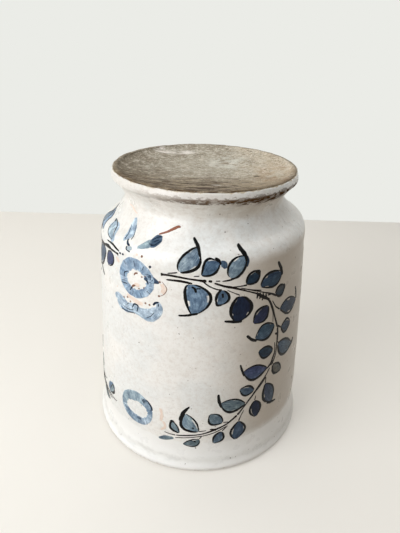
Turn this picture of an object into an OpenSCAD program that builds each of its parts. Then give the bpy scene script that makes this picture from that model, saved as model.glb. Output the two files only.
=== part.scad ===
// Small tin-glazed drug jar with a painted wreath, standing upside down on its mouth.
// Millimetres. Z is up, the origin is the centre of the ring that the lip rests on.
// The jar is turned, so its shape is one line of radius and height, revolved about Z.
// The painting is laid out flat, in millimetres to the right of the wreath's own axis and
// in heights above the resting ring, and is then wrapped round the wall stroke by stroke.

/* [Jar] */
// Height as it stands, from the lip's resting ring to the edge of the foot
jar_h = 136.5; // [128:0.5:146]
// Thickness of the fired clay in the wall
wall_t = 4.6; // [3.6:0.1:5.6]
// Thickness of the clay at the middle of the foot
floor_t = 10; // [7:0.5:13]
// Thickness of the coat of glaze
glaze_t = 0.5; // [0.3:0.05:0.8]

/* [Mouth] */
// How far the lip stands out from the wall, all round
lip_out = 1.75; // [1:0.05:3]
// Radius of the lip's rounding at its resting edge
lip_round = 2.4; // [1.8:0.1:2.8]
// Height of the flare that runs up from the lip to the hollow above it
flare_h = 14.2; // [11:0.2:18]
// How far the hollow between the flare and the wall cuts in
waist_in = 0.25; // [0.1:0.05:0.6]
// Height in which the hollow runs out into the wall
waist_h = 9; // [6:0.5:12]
// Radius of the rounding inside the mouth
mouth_round = 3.5; // [2.5:0.1:4]

/* [Wall] */
// Diameter of the wall just above the hollow
wall_low_d = 105.1; // [102:0.1:110]
// Diameter of the wall where the shoulder begins
wall_high_d = 100.2; // [98:0.2:103]

/* [Shoulder and neck] */
// From the edge of the foot down to the start of the shoulder
shoulder_drop = 39.5; // [36:0.5:44]
// How far the shoulder's curve leans out before it turns in
shoulder_lean = 1.4; // [0.6:0.1:2.4]
// Diameter of the neck
neck_d = 77.2; // [73:0.2:81]
// From the edge of the foot down to the narrowest place of the neck
neck_drop = 14.8; // [13:0.2:17]
// From the shoulder's start up to where the hollow inside ends
hollow_rise = 25; // [20:0.5:27]
// Width of the rounding between the wall and the floor inside
hollow_round = 18; // [12:0.5:24]

/* [Foot] */
// Largest diameter of the foot's rim
foot_d = 89.2; // [86:0.2:94]
// Height of the foot's rim, a rounded band
foot_rim_h = 4.4; // [3.4:0.1:6]
// How far the rim leans in towards its bare edge
foot_rim_lean = 0.8; // [0.4:0.1:1.6]
// Width of the flat ring at the foot's edge
foot_ring_w = 2.2; // [1.4:0.1:4]
// Depth of the turned hollow under the foot
foot_dish = 4.2; // [2:0.2:6]

/* [Painting] */
// Size of the wreath against the one on the real jar
wreath_size = 1; // [0.85:0.01:1.02]
// How far the wreath's middle lies above the middle of the plain wall
wreath_rise = 1.9; // [-2:0.1:5]
// Where the wreath's axis lies, in degrees from the front to the left
wreath_turn = 33.7; // [0:0.1:180]
// Width of the black strokes round the leaves
stroke_w = 0.8; // [0.5:0.05:1.1]
// Width of the stems' thin strokes
stem_w = 0.5; // [0.3:0.05:0.8]
// How far the paint stands out from the glaze
paint_t = 0.12; // [0.08:0.01:0.3]

/* [Hidden] */
$fn = 180;

// Points on an arc, points on a curve drawn between two ends, and a line moved sideways
function on_circle(c, r, a) = c + r * [cos(a), sin(a)];
function arc(c, r, from, to, n) = [for (i = [0 : n]) on_circle(c, r, from + (to - from) * i / n)];
function curve(a, b, c, n) =
    [for (i = [1 : n]) let (t = i / n) (1 - t) * (1 - t) * a + 2 * t * (1 - t) * b + t * t * c];
function unit(v) = v / norm(v);
function left_of(v) = [-v[1], v[0]];
function heading(line, i) = unit(line[min(i + 1, len(line) - 1)] - line[max(i - 1, 0)]);
function moved(line, d) = [for (i = [0 : len(line) - 1]) line[i] + d * left_of(heading(line, i))];
function reversed(line) = [for (i = [len(line) - 1 : -1 : 0]) line[i]];

// The angles on the lip's rounding at which the glaze is worn through, and where the flare begins
worn_at = -75;
flare_at = 20;

// Where the shoulder's two curves meet, seen from the neck, and what the curves lean towards
shoulder_meet = [7.5, -9.2];
shoulder_pull = [shoulder_lean, 13];
neck_pull = [4.2, -3.6];
foot_pull = [-0.2, 4.6];
waist_pull_h = waist_h * 0.4;

// How far the rim's low edge lies inside its widest, how high its widest is, and how far the
// glaze ends below the bare edge
rim_tuck = 0.4;
rim_wide_h = foot_rim_h * 0.3;
bare_edge_h = 0.4;

// The glazed outside, from the lip's worn edge up to the bare edge of the foot
lip_r = wall_low_d / 2 + lip_out;
lip_c = [lip_r - lip_round, -lip_round * sin(worn_at)];
waist = [wall_low_d / 2 - waist_in, flare_h];
flare_low = on_circle(lip_c, lip_round, flare_at);
flare_pull = [waist[0], flare_low[1] + (flare_low[0] - waist[0]) / tan(flare_at)];
wall_low = [wall_low_d / 2, flare_h + waist_h];
wall_high = [wall_high_d / 2, jar_h - shoulder_drop];
neck = [neck_d / 2, jar_h - neck_drop];
shoulder = neck + shoulder_meet;
rim_low = [foot_d / 2 - rim_tuck, jar_h - foot_rim_h];
rim_wide = [foot_d / 2, jar_h - foot_rim_h + rim_wide_h];
rim_edge = [foot_d / 2 - foot_rim_lean, jar_h - bare_edge_h];
outside = concat(
    arc(lip_c, lip_round, worn_at, flare_at, 6),
    curve(flare_low, flare_pull, waist, 6),
    curve(waist, waist + [0, waist_pull_h], wall_low, 4),
    [wall_high],
    curve(wall_high, wall_high + shoulder_pull, shoulder, 9),
    curve(shoulder, neck + neck_pull, neck, 6),
    curve(neck, neck + foot_pull, rim_low, 6),
    [rim_wide, rim_edge]);
clay_outside = moved(outside, glaze_t);

// The glazed inside, from the mouth's worn edge up to the middle of the floor. Its straight
// part ends a little under the start of the shoulder.
inside_end_drop = 2;
inside_low = [wall_low[0] - 2 * glaze_t - wall_t, flare_h];
inside_high = [wall_high[0] - 2 * glaze_t - wall_t, wall_high[1] - inside_end_drop];
mouth_c = [inside_low[0] + mouth_round, -mouth_round * sin(worn_at)];
floor_z = min(wall_high[1] + hollow_rise, jar_h - foot_dish - floor_t - glaze_t);
hollow_curve_h = floor_z - inside_high[1];
inside = concat(
    arc(mouth_c, mouth_round, 180 - worn_at, 180, 5),
    [inside_low, inside_high],
    [for (a = [10 : 10 : 90])
        inside_high + [-hollow_round * (1 - cos(a)), hollow_curve_h * sin(a)]],
    [[0, floor_z]]);
clay_inside = moved(inside, -glaze_t);

// The turned hollow under the foot, from its flat ring to its flat middle
foot_ring_out = clay_outside[len(clay_outside) - 1][0];
dish_r = foot_ring_out - foot_ring_w;
dish_end = 80;
foot_hollow = concat(
    [for (a = [0 : 10 : dish_end]) [dish_r * cos(a), jar_h - foot_dish * sin(a) / sin(dish_end)]],
    [[0, jar_h - foot_dish]]);

module turned(line, tint) {
    color(tint) rotate_extrude() polygon(line);
}

module clay_body() {
    turned(concat([outside[0]], clay_outside, [[foot_ring_out, jar_h]], foot_hollow,
                  reversed(clay_inside), [inside[0]]), "#b39a7c");
}

module lining_glaze() {
    turned(concat(clay_inside, reversed(inside)), "#efeae0");
}

module outer_glaze() {
    turned(concat(outside, reversed(clay_outside)), "#f2eee6");
}

// The right-hand branch's leaves, read off the jar: foot, tip, and how far each side swells
LEAVES = [
    [[19.3, 104.5], [28, 113.2], 4, 3.3],
    [[29.2, 103.8], [38.5, 107.8], 4, 1.6],
    [[40.5, 102.5], [48.3, 110.3], 4.2, 3.5],
    [[48.5, 98.3], [55.2, 103.2], 2.6, 2.6],
    [[56.8, 94.5], [69.3, 99.3], 4.4, 3.8],
    [[64.8, 89.5], [71.6, 91], 2.3, 3],
    [[68.8, 80.3], [84, 79.5], 4, 4.5],
    [[25.5, 99.8], [26.4, 84.6], 7.4, 3.2],
    [[39, 97], [36.7, 89.3], 3.6, 1.7],
    [[46.8, 93], [45.5, 80.6], 5.9, 3.7],
    [[61, 85.2], [53.7, 78], 3.7, 3.2],
    [[65.5, 74], [55.2, 70], 3.8, 3.8],
    [[71, 70], [78.8, 69], 3.3, 3.6],
    [[69.8, 61.2], [82.5, 55.3], 2.9, 5.2],
    [[65.8, 60], [57.4, 62.5], 3.3, 2],
    [[66.9, 51.5], [73, 46], 2.3, 2.8],
    [[63.3, 52], [49.8, 54], 4.4, 2.8],
    [[56, 42], [48.7, 44.6], 2.8, 2.4],
    [[62.6, 43], [67.6, 30.5], 3.6, 3.8],
    [[51.8, 36], [39.7, 38.8], 4.4, 2.8],
    [[56.5, 35.8], [57.8, 25.8], 3.4, 2.8],
    [[48.6, 27], [48, 16], 4.2, 3],
    [[41.2, 28], [35.2, 33.2], 3.9, 1.9],
    [[40.6, 22.6], [37.4, 16], 3, 1.9],
    [[30.6, 23.4], [24, 33], 4.7, 2],
    [[21.6, 21.6], [18.2, 27.6], 2.2, 0.7],
    [[30.8, 18.6], [23.4, 15.2], 2.9, 0.9]];

// The hooked tails on some tips, each a stroke from the tip to its end
HOOKS = [
    [[28, 113.2], [24.6, 115.8], -0.4],
    [[48.3, 110.3], [46.5, 113.3], 0.4],
    [[69.3, 99.3], [66, 105], -0.5],
    [[84, 79.5], [82.3, 86], -0.4],
    [[26.4, 84.6], [20.4, 83.5], -0.3],
    [[45.5, 80.6], [39.8, 81.6], -0.2],
    [[55.2, 70], [50.5, 72.6], 0.3],
    [[82.5, 55.3], [84.5, 58], 0.3],
    [[49.8, 54], [48.2, 58.2], -0.3],
    [[67.6, 30.5], [71, 29.2], 0.3],
    [[39.7, 38.8], [38.8, 44], 0.3],
    [[24, 33], [26.3, 37.4], 0.3]];

// The stem's two lines, from the thick end near the foot, and the stalks that leave them
STEMS = [
    [[12.3, 102.2], [30.3, 101.4], 0.6],
    [[30.3, 101.4], [47.7, 95.5], 0.3],
    [[47.7, 95.5], [61.5, 87.3], 0.5],
    [[61.5, 87.3], [68.5, 70], 0.5],
    [[68.5, 70], [65.2, 52], 1.5],
    [[65.2, 52], [53, 35], 0.5],
    [[53, 35], [37, 23.8], 1.1],
    [[37, 23.8], [16, 20], 1.2],
    [[14.6, 100.2], [24.2, 100.6], 0.3],
    [[34, 101.2], [57, 92.6], 0.8],
    [[60.4, 87.2], [64.4, 79.6], 0.4],
    [[67.4, 64], [64.6, 54], 0.4],
    [[60, 46.4], [52.8, 36.9], 0.3]];
STALKS = [
    [[15.2, 103.2], [19.6, 104.6], -0.3],
    [[24, 103.2], [29.2, 103.8], 0.2],
    [[36, 101.9], [41, 101.8], -0.2],
    [[45.2, 98.9], [48.6, 98.4], -0.2],
    [[53.6, 95.2], [56.8, 94.5], -0.2],
    [[60.4, 90.4], [64.9, 89.3], -0.3],
    [[63, 86.4], [68.9, 80.5], -0.5],
    [[31, 100.4], [38.6, 97.5], -0.3],
    [[42.4, 96.3], [46.3, 93.8], -0.2],
    [[69, 71.4], [71.2, 70.1], -0.2],
    [[62.7, 46.2], [62.8, 43], 0.2],
    [[57, 39.2], [56.7, 35.8], 0.2],
    [[50.7, 31.4], [48.8, 27.2], 0.3],
    [[44.6, 28.4], [41.2, 28], 0.2],
    [[43, 25.7], [40.8, 22.8], 0.3],
    [[34.8, 24.2], [30.6, 23.6], 0.2],
    [[33, 22], [31, 18.9], 0.3],
    [[67.6, 56], [67, 51.8], 0.3],
    [[69.5, 63.8], [69.9, 61.4], 0.2]];

// The pale blue flowers on the wreath's axis: rings, and soft strokes with their own widths
RINGS = [[[-1, 96.6], 9.7, 5], [[-0.5, 28.5], 9.3, 5]];
BLOOMS = [
    [[-13, 83.6], [-1, 81], -1.4, 5.4],
    [[-0.8, 81], [9, 82], -1.4, 5.4],
    [[9.6, 83], [11, 88], -1, 4.4],
    [[-11.8, 118.6], [-6.8, 111.4], -0.8, 3.6],
    [[0.6, 111.4], [5.8, 113.6], 0.3, 2.2],
    [[6, 113.8], [9, 115.4], 0.3, 3.6]];
RUST = [
    [[9, 116.8], [16, 120], -0.3, 0.8],
    [[6.6, 105.4], [7.4, 104.4], 0.2, 0.9],
    [[2.4, 108.6], [3.2, 108], 0.2, 0.9],
    [[-0.4, 108], [0.4, 108.6], 0.2, 0.8],
    [[-3.2, 93.2], [0.6, 93.4], -0.4, 0.7],
    [[-1.4, 99.6], [0.8, 99.8], 0.3, 0.7],
    [[11.4, 98.6], [12.2, 99.2], 0.2, 0.9],
    [[10.8, 92], [11.8, 91.6], 0.2, 0.7]];

// A place on the painting is its distance from the wreath's axis and its height. They were
// measured with the wreath's middle at painted_z, on a wall of the radius painted_r.
painted_z = 62;
painted_r = 51;
wreath_z = (wall_low[1] + wall_high[1]) / 2 + wreath_rise;
function azimuth(s) = s * wreath_size / painted_r * 180 / PI - wreath_turn;
function height(z) = wreath_z + (z - painted_z) * wreath_size;
function radius_at(h) = lookup(h, [for (p = outside) [p[1], p[0]]]);
function flat(p, about) =
    let (h = height(p[1])) [radius_at(h) * sin(azimuth(p[0]) - about), h];

// The arc from a to b that swells to the left by s: its radius, its centre and half its sweep
function swell_r(a, b, s) = (norm(b - a) * norm(b - a) / 4 + s * s) / (2 * s);
function swell_c(a, b, s) = (a + b) / 2 + left_of(unit(b - a)) * (s - swell_r(a, b, s));
function half_sweep(a, b, s) = 2 * atan(2 * s / norm(b - a));
function angle_of(v) = atan2(v[1], v[0]);

// The left-hand branch is the right-hand one turned over, and it lies a little higher
left_lift = 2.2;
function placed(p, side) = [side * p[0], p[1] + (side < 0 ? left_lift : 0)];

// A thin coat that follows the glaze, from which every stroke is cut
module coat() {
    rotate_extrude() polygon(concat(outside, reversed(moved(outside, -paint_t))));
}

// How short of its ends a stroke stops: at a free end, at a leaf's foot, beside a stem, and
// where a hooked tail leaves a leaf's tip
stroke_gap = 0.1;
tip_lift = 1.2 * stroke_w;
stem_lift = stem_w / 2 + stroke_gap;
hook_lift = 2.4 * stroke_w;

// Carries a flat shape out through the wall at one azimuth, at the height of its middle
reach = 6;
module facing(about, h) {
    rotate([0, 0, about]) rotate([90, 0, 0]) translate([0, 0, radius_at(h) - reach]) children();
}

// One brush stroke from p to q, swelling to the left by s, of width w. It starts and stops
// short of its ends by the two lifts, so that it stays clear of the strokes that it meets.
module stroke(p, q, s, w, lift_p = stroke_gap, lift_q = stroke_gap) {
    about = azimuth((p[0] + q[0]) / 2);
    a = flat(s > 0 ? p : q, about);
    b = flat(s > 0 ? q : p, about);
    r = swell_r(a, b, abs(s));
    c = swell_c(a, b, abs(s));
    half = half_sweep(a, b, abs(s));
    off_a = (s > 0 ? lift_p : lift_q) / r * 180 / PI;
    off_b = (s > 0 ? lift_q : lift_p) / r * 180 / PI;
    facing(about, (a[1] + b[1]) / 2) translate([c[0], c[1], 0])
        rotate([0, 0, angle_of(left_of(b - a)) - half + off_b])
        rotate_extrude(angle = 2 * half - off_a - off_b)
        translate([r - w / 2, 0]) square([w, 2 * reach]);
}

// The leaf shape between its two swelling sides, grown outwards by g
module lens(p, q, left, right, g) {
    about = azimuth((p[0] + q[0]) / 2);
    a = flat(p, about);
    b = flat(q, about);
    one = left > 0 ? [a, b, left] : [b, a, -left];
    other = right > 0 ? [b, a, right] : [a, b, -right];
    facing(about, (a[1] + b[1]) / 2) linear_extrude(2 * reach)
        intersection_for(side = [one, other])
            translate(swell_c(side[0], side[1], side[2]))
            circle(swell_r(side[0], side[1], side[2]) + g);
}

module leaf(row, side, g) {
    lens(placed(row[0], side), placed(row[1], side), side * row[2], side * row[3], g);
}

module spot(p, r) {
    facing(azimuth(p[0]), height(p[1])) translate([0, height(p[1]), 0]) cylinder(r = r, h = 2 * reach);
}

module leaf_washes() {
    color("#5b6f8f") intersection() {
        coat();
        for (side = [1, -1]) for (row = LEAVES) leaf(row, side, -stroke_w / 2);
    }
}

module leaf_outlines() {
    color("#14130f") intersection() {
        coat();
        for (side = [1, -1]) {
            for (row = LEAVES) difference() {
                leaf(row, side, stroke_w / 2);
                leaf(row, side, -stroke_w / 2);
            }
            for (h = HOOKS)
                stroke(placed(h[0], side), placed(h[1], side), side * h[2], stroke_w, hook_lift);
        }
    }
}

module wreath_stems() {
    color("#2a241c") intersection() {
        coat();
        for (side = [1, -1]) {
            for (l = STEMS) stroke(placed(l[0], side), placed(l[1], side), side * l[2], stem_w);
            for (l = STALKS)
                stroke(placed(l[0], side), placed(l[1], side), side * l[2], stem_w,
                       stem_lift, tip_lift);
        }
    }
}

module rust_strokes() {
    for (l = RUST) stroke(l[0], l[1], l[2], l[3]);
}

module flower_washes() {
    color("#a9bcd4") intersection() {
        coat();
        difference() {
            union() {
                for (ring = RINGS) difference() {
                    spot(ring[0], ring[1]);
                    spot(ring[0], ring[2]);
                }
                for (b = BLOOMS) stroke(b[0], b[1], b[2], b[3]);
            }
            rust_strokes();
        }
    }
}

module rust_touches() {
    color("#9a5a3e") intersection() {
        coat();
        rust_strokes();
    }
}

clay_body();
lining_glaze();
outer_glaze();
leaf_washes();
leaf_outlines();
wreath_stems();
flower_washes();
rust_touches();
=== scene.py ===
# A small tin-glazed drug jar with a painted wreath, standing upside down on its mouth.
# Sizes are in millimetres until a mesh is finished, when MM turns them into metres.
# Z is up, the jar is turned about Z, and -Y faces the camera.
import bisect
import math

import bmesh
import bpy
from mathutils import Matrix, Vector, noise


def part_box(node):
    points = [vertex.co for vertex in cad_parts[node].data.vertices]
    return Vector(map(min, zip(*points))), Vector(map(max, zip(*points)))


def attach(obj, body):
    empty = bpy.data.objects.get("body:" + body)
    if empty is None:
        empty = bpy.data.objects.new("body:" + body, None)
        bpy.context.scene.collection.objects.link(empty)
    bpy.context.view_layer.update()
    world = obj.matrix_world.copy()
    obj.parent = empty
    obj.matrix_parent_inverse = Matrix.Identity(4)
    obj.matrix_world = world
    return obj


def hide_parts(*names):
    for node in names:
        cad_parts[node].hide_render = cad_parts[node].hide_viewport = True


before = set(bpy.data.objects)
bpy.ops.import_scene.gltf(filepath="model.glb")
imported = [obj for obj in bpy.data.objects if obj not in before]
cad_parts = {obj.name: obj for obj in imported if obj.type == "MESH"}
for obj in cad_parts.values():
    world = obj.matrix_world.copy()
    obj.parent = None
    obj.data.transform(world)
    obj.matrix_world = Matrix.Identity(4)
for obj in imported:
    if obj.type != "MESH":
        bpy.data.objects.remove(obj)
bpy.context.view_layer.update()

MM = 0.001
jar_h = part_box("clay_body")[1].z / MM
lip_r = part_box("outer_glaze")[1].x / MM

# The turned shape, as radius and height
glaze_t = 0.5
wall_t = 4.6
lip_round = 2.4
lip_out = 1.75
worn_at = -75
flare_at = 20
flare_h = 14.2
waist_in = 0.25
waist_h = 9
wall_low = Vector((lip_r - lip_out, flare_h + waist_h))
wall_high = Vector((50.35, jar_h - 39.5))
shoulder_low = Vector((50.0, jar_h - 33))
shoulder_high = Vector((45.2, jar_h - 23.4))
neck = Vector((38.2, jar_h - 14.8))
foot_r = 44.6
foot_rim_h = 4.4
rim_low = Vector((foot_r - 0.4, jar_h - foot_rim_h))
foot_edge = Vector((foot_r - 0.8, jar_h - 0.4))
foot_ring_w = 2.2
foot_dish = 4.2
dish_end = 80
floor_t = 10
hollow_round = 18
mouth_round = 3.5
turn_steps = 288

# The points that pull the curves between them
wall_pull = Vector((51.6, 72))
bend_pull = Vector((49.7, wall_high.y + 3.5))
shoulder_pull = Vector((50.4, shoulder_low.y + 7.6))
slope_pull = Vector((42.6, shoulder_high.y + 1.4))
neck_pull = neck + Vector((-0.2, 4.6))
rim_pull = Vector((foot_r + 0.15, jar_h - foot_rim_h * 0.7))

# The wall's right side stands this much higher than its middle, and its left side as much lower
lean_rise = 1.7
lean_starts = (1, 13)
lean_ends = (112, 126)

# How far the potter's hand left the wall inside its true round, and how far the foot's rim is knocked
wall_in = 0.18
wall_wander = 0.16
wander_size = 34
knock_in = (0.12, 0.3, 0.06)
knock_down = (0.1, 0.35, 0.08)

# The painting is measured along the wall at this radius, from its own axis to the left of the front
wreath_axis = 30
painted_r = 51
left_lift = 2.2

# Paint lies just over the glaze, and the edges of a stroke dip into it
wash_lift = 0.07
line_lift = 0.12
sunk = -0.04
pad_t = 0.1


def on_circle(centre, radius, degrees):
    a = math.radians(degrees)
    return centre + radius * Vector((math.cos(a), math.sin(a)))


def arc(centre, radius, first, last, steps):
    return [on_circle(centre, radius, first + (last - first) * i / steps) for i in range(steps + 1)]


def curve(start, pull, end, steps):
    """The points of a curve after its start, which leans towards pull on its way to the end."""
    shares = [i / steps for i in range(1, steps + 1)]
    return [(1 - t) ** 2 * start + 2 * t * (1 - t) * pull + t * t * end for t in shares]


def straight(start, end, steps):
    return [start.lerp(end, i / steps) for i in range(1, steps + 1)]


def outside_line():
    """The glaze's outer surface, from the lip's worn edge up to the edge of the foot."""
    lip_c = Vector((lip_r - lip_round, -lip_round * math.sin(math.radians(worn_at))))
    flare_low = on_circle(lip_c, lip_round, flare_at)
    waist = Vector((wall_low.x - waist_in, flare_h))
    flare_rise = (flare_low.x - waist.x) / math.tan(math.radians(flare_at))
    line = arc(lip_c, lip_round, worn_at, flare_at, 14)
    line += curve(flare_low, Vector((waist.x, flare_low.y + flare_rise)), waist, 16)
    line += curve(waist, waist + Vector((0, waist_h * 0.4)), wall_low, 10)
    line += curve(wall_low, wall_pull, wall_high, 60)
    line += curve(wall_high, bend_pull, shoulder_low, 10)
    line += curve(shoulder_low, shoulder_pull, shoulder_high, 24)
    line += curve(shoulder_high, slope_pull, neck, 14)
    line += curve(neck, neck_pull, rim_low, 12)
    line += curve(rim_low, rim_pull, foot_edge, 8)
    return line


def inside_line():
    """The lining's surface, from the mouth's worn edge up to the middle of the floor."""
    low = Vector((wall_low.x - 2 * glaze_t - wall_t, flare_h))
    high = Vector((wall_high.x - 2 * glaze_t - wall_t, wall_high.y - 2))
    mouth_c = Vector((low.x + mouth_round, -mouth_round * math.sin(math.radians(worn_at))))
    floor_z = jar_h - foot_dish - floor_t - glaze_t
    line = arc(mouth_c, mouth_round, 180 - worn_at, 180, 8)
    line += straight(line[-1], low, 3) + straight(low, high, 30)
    for step in range(1, 13):
        a = math.radians(7.5 * step)
        line.append(high + Vector((-hollow_round * (1 - math.cos(a)), (floor_z - high.y) * math.sin(a))))
    return line + straight(line[-1], Vector((0, floor_z)), 10)


def heading(line, i):
    return (line[min(i + 1, len(line) - 1)] - line[max(i - 1, 0)]).normalized()


def left_of(line, i):
    """The direction straight to the left of a line at one of its points."""
    ahead = heading(line, i)
    return Vector((-ahead.y, ahead.x))


def moved(line, distance):
    """The line moved to its left by a distance."""
    return [p + distance * left_of(line, i) for i, p in enumerate(line)]


OUTSIDE = outside_line()
OUTSIDE_HEIGHTS = [p.y for p in OUTSIDE]
INSIDE = inside_line()


def at_height(z):
    """The glaze's radius at a height, and the direction straight out of it."""
    i = min(max(bisect.bisect_left(OUTSIDE_HEIGHTS, z, lo=1), 1), len(OUTSIDE) - 1)
    low, high = OUTSIDE[i - 1], OUTSIDE[i]
    share = min(max((z - low.y) / (high.y - low.y), 0), 1)
    out = heading(OUTSIDE, i - 1).lerp(heading(OUTSIDE, i), share).normalized()
    return low.x + (high.x - low.x) * share, Vector((out.y, -out.x))


def smooth(low, high, x):
    t = min(max((x - low) / (high - low), 0), 1)
    return t * t * (3 - 2 * t)


def lean(share_right, z):
    """How much a point of the wall is lifted, from its share to the right and its height."""
    return lean_rise * share_right * smooth(*lean_starts, z) * (1 - smooth(*lean_ends, z))


def hand_made(p):
    """Moves a point as the potter's hand did: a wall that wanders and leans, and a knocked foot rim."""
    radius = math.hypot(p.x, p.y)
    if radius < 1:
        return p
    out = Vector((p.x, p.y, 0)) / radius
    wander = noise.noise(Vector((p.x, p.y, p.z * 1.5)) / wander_size)
    push, rise = -wall_in - wall_wander * wander, lean(out.x, p.z)
    rim = smooth(jar_h - 6, jar_h - 2, p.z) * smooth(36, 42, radius)
    if rim > 0:
        knocks = abs(noise.noise(Vector((p.x, p.y, 7)) / 9))
        fine = abs(noise.noise(p / 3.2))
        push -= rim * (knock_in[0] + knock_in[1] * knocks + knock_in[2] * fine)
        rise -= rim * (knock_down[0] + knock_down[1] * knocks + knock_down[2] * fine)
    return p + out * push * smooth(0, 3, p.z) + Vector((0, 0, rise))


def new_object(name, data):
    made = bpy.data.objects.new(name, data)
    bpy.context.scene.collection.objects.link(made)
    return made


def mesh_object(name, bm, material):
    """Puts a mesh and its material on a new object."""
    mesh = bpy.data.meshes.new(name)
    bm.to_mesh(mesh)
    bm.free()
    mesh.materials.append(material)
    return new_object(name, mesh)


def finish_mesh(bm, name, finish, nodes):
    """Puts a mesh in metres on an object that rides on the jar and stands for some CAD nodes."""
    bmesh.ops.scale(bm, vec=(MM, MM, MM), verts=bm.verts)
    piece = mesh_object(name, bm, finish)
    piece.data.shade_smooth()
    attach(piece, "root")
    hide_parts(*nodes)


def turned(line):
    """A closed line turned about Z into a solid of revolution."""
    bm = bmesh.new()
    verts = [bm.verts.new((p.x, 0, p.y)) for p in line]
    edges = [bm.edges.new(pair) for pair in zip(verts, verts[1:]) if pair[0].co.x + pair[1].co.x > 0]
    if line[0].x > 0 or line[-1].x > 0:
        edges.append(bm.edges.new((verts[-1], verts[0])))
    geom = verts + edges
    axis = (0, 0, 1)
    bmesh.ops.spin(bm, geom=geom, cent=(0, 0, 0), axis=axis, angle=math.tau, steps=turn_steps, use_merge=True)
    bmesh.ops.remove_doubles(bm, verts=bm.verts, dist=0.0005)
    bmesh.ops.recalc_face_normals(bm, faces=bm.faces)
    for v in bm.verts:
        v.co = hand_made(v.co)
    return bm


def rgb(text):
    """A colour written as screen values, in the linear values that Blender wants."""
    parts = [int(text[i : i + 2], 16) / 255 for i in (1, 3, 5)]
    return tuple(c / 12.92 if c < 0.04045 else ((c + 0.055) / 1.055) ** 2.4 for c in parts) + (1,)


class Recipe:
    """A material and its nodes. Lengths are in millimetres on the object's own coordinates."""

    def __init__(self, name):
        self.material = bpy.data.materials.new(name)
        self.material.use_nodes = True
        self.tree = self.material.node_tree
        self.shader = self.tree.nodes["Principled BSDF"]
        place = self.add("ShaderNodeTexCoord").outputs["Object"]
        self.place = self.vector("MULTIPLY", place, (1 / MM, 1 / MM, 1 / MM))
        self.x, self.y, self.z = self.split(self.place)

    def add(self, kind):
        return self.tree.nodes.new(kind)

    def feed(self, socket, value):
        if isinstance(value, bpy.types.NodeSocket):
            self.tree.links.new(value, socket)
        else:
            socket.default_value = value

    def split(self, vector):
        node = self.add("ShaderNodeSeparateXYZ")
        self.feed(node.inputs[0], vector)
        return node.outputs

    def join(self, x, y, z):
        node = self.add("ShaderNodeCombineXYZ")
        for socket, value in zip(node.inputs, (x, y, z)):
            self.feed(socket, value)
        return node.outputs[0]

    def vector(self, how, a, b=(0, 0, 0)):
        node = self.add("ShaderNodeVectorMath")
        node.operation = how
        self.feed(node.inputs[0], a)
        self.feed(node.inputs[1], b)
        return node.outputs["Value" if how in ("LENGTH", "DOT_PRODUCT") else "Vector"]

    def math(self, how, a, b=0, c=0):
        node = self.add("ShaderNodeMath")
        node.operation = how
        for socket, value in zip(node.inputs, (a, b, c)):
            self.feed(socket, value)
        return node.outputs[0]

    def times(self, first, *others):
        for other in others:
            first = self.math("MULTIPLY", first, other)
        return first

    def step(self, value, low, high):
        """0 under low, 1 over high, and a soft passage between them."""
        node = self.add("ShaderNodeMapRange")
        node.interpolation_type = "SMOOTHSTEP"
        self.feed(node.inputs["Value"], value)
        self.feed(node.inputs["From Min"], low)
        self.feed(node.inputs["From Max"], high)
        return node.outputs["Result"]

    def under(self, value, low, high):
        """1 under low, 0 over high, and a soft passage between them."""
        return self.step(value, high, low)

    def band(self, value, low, high, soft):
        """1 between low and high, fading over soft on both sides."""
        rise = self.step(value, low - soft, low + soft)
        fall = self.step(value, high - soft, high + soft)
        return self.math("SUBTRACT", rise, fall)

    def noise(self, size, detail=2, rough=0.5, where=None, stretch=(1, 1, 1)):
        node = self.add("ShaderNodeTexNoise")
        where = self.place if where is None else where
        self.feed(node.inputs["Vector"], self.vector("MULTIPLY", where, stretch))
        node.inputs["Scale"].default_value = 1 / size
        node.inputs["Detail"].default_value = detail
        node.inputs["Roughness"].default_value = rough
        return node.outputs["Fac"]

    def mix(self, share, a, b):
        node = self.add("ShaderNodeMix")
        node.data_type = "RGBA"
        self.feed(node.inputs["Factor"], share)
        self.feed(node.inputs[6], a)
        self.feed(node.inputs[7], b)
        return node.outputs[2]

    def layered(self, tone, layers):
        """The tone with colours laid over it in turn, each as strongly as its shares multiplied say."""
        for colour, *shares in layers:
            tone = self.mix(self.times(*shares), tone, colour)
        return tone

    def attribute(self, name, output="Fac"):
        node = self.add("ShaderNodeAttribute")
        node.attribute_name = name
        return node.outputs[output]

    def spot(self, centre, reach):
        """1 inside an oval about a point (x, y), fading to 0 at its ragged edge."""
        ragged = self.math("MULTIPLY_ADD", self.noise(4, 3, 0.6), 0.9, -0.45)
        x = self.math("DIVIDE", self.math("SUBTRACT", self.x, centre[0]), reach[0])
        y = self.math("DIVIDE", self.math("SUBTRACT", self.y, centre[1]), reach[1])
        far = self.math("ADD", self.vector("LENGTH", self.join(x, y, 0)), ragged)
        return self.under(far, 0.6, 1.1)

    def bump(self, height, depth, normal=None):
        node = self.add("ShaderNodeBump")
        node.inputs["Strength"].default_value = 1
        node.inputs["Distance"].default_value = depth * MM
        self.feed(node.inputs["Height"], height)
        if normal is not None:
            self.feed(node.inputs["Normal"], normal)
        return node.outputs["Normal"]

    def finish(self, colour, roughness, normal):
        self.feed(self.shader.inputs["Base Color"], colour)
        self.feed(self.shader.inputs["Roughness"], roughness)
        self.feed(self.shader.inputs["Normal"], normal)
        return self.material


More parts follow.
